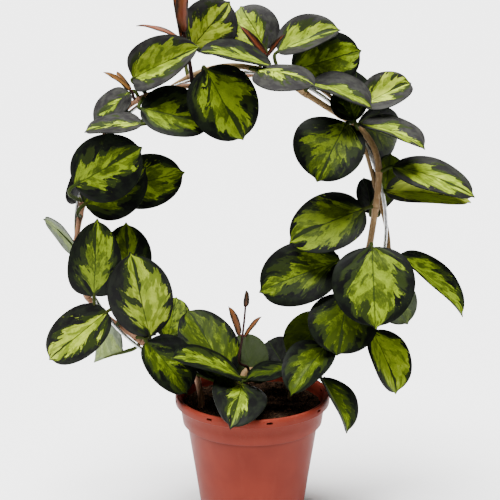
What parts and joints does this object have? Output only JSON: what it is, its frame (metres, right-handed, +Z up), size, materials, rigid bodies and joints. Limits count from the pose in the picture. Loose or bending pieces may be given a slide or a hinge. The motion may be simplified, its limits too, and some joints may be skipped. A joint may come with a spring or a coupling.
{
  "type": "potted trailing plant on a hoop",
  "caption": "Potted hoya with thick two-tone leaves, its vines wound round a wire hoop that stands in the soil of a plastic nursery pot.",
  "frame": {"origin": "on the ground, at the middle of the pot's underside", "axes": "+Z up along the pot's axis; the hoop stands in the XZ plane and its front faces -Y"},
  "size_m": [0.3281, 0.1391, 0.4341],
  "materials": {
    "pot_plastic": "moulded polypropylene, satin, terracotta red-brown",
    "potting_mix": "dark peat and bark crumbs, matt",
    "galvanised_wire": "drawn steel wire, dull zinc grey",
    "vine_bark": "smooth tan to reddish bark, matt",
    "hoya_leaf": "thick waxy leaf, dark green margin round a lime centre",
    "young_leaf": "young leaf and shoot, copper red, slightly waxy"
  },
  "bodies": {
    "root": {"pot": "pot_plastic", "potting_mix": "potting_mix", "hoop": "galvanised_wire", "vine_right": "vine_bark", "vine_second": "vine_bark", "vine_left": "vine_bark", "leaf_top_a": "hoya_leaf", "leaf_top_b": "hoya_leaf", "leaf_top_c": "hoya_leaf", "leaf_top_d": "hoya_leaf", "leaf_top_e": "hoya_leaf", "leaf_top_f": "hoya_leaf", "leaf_top_g": "hoya_leaf", "leaf_right_a": "hoya_leaf", "leaf_right_b": "hoya_leaf", "leaf_right_c": "hoya_leaf", "leaf_right_d": "hoya_leaf", "leaf_right_e": "hoya_leaf", "leaf_right_f": "hoya_leaf", "leaf_right_g": "hoya_leaf", "leaf_right_h": "hoya_leaf", "leaf_right_i": "hoya_leaf", "leaf_right_j": "hoya_leaf", "leaf_right_k": "hoya_leaf", "leaf_right_l": "hoya_leaf", "leaf_right_m": "hoya_leaf", "leaf_right_n": "hoya_leaf", "leaf_right_o": "hoya_leaf", "leaf_right_p": "hoya_leaf", "leaf_right_q": "hoya_leaf", "leaf_right_r": "hoya_leaf", "leaf_low_a": "hoya_leaf", "leaf_low_b": "hoya_leaf", "leaf_low_c": "hoya_leaf", "leaf_low_d": "hoya_leaf", "leaf_low_e": "hoya_leaf", "leaf_low_f": "hoya_leaf", "leaf_low_g": "hoya_leaf", "leaf_low_h": "hoya_leaf", "leaf_low_i": "hoya_leaf", "leaf_low_j": "hoya_leaf", "leaf_left_a": "hoya_leaf", "leaf_left_b": "hoya_leaf", "leaf_left_c": "hoya_leaf", "leaf_left_d": "hoya_leaf", "leaf_left_e": "hoya_leaf", "leaf_left_f": "hoya_leaf", "leaf_left_g": "hoya_leaf", "leaf_left_h": "hoya_leaf", "leaf_left_i": "hoya_leaf", "leaf_left_j": "hoya_leaf", "leaf_left_k": "hoya_leaf", "leaf_left_l": "hoya_leaf", "leaf_left_m": "hoya_leaf", "leaf_top_h": "hoya_leaf", "leaf_top_i": "hoya_leaf", "shoot_top": "young_leaf", "shoot_left": "young_leaf", "shoot_crown": "young_leaf", "shoot_centre": "young_leaf"}
  },
  "joints": []
}
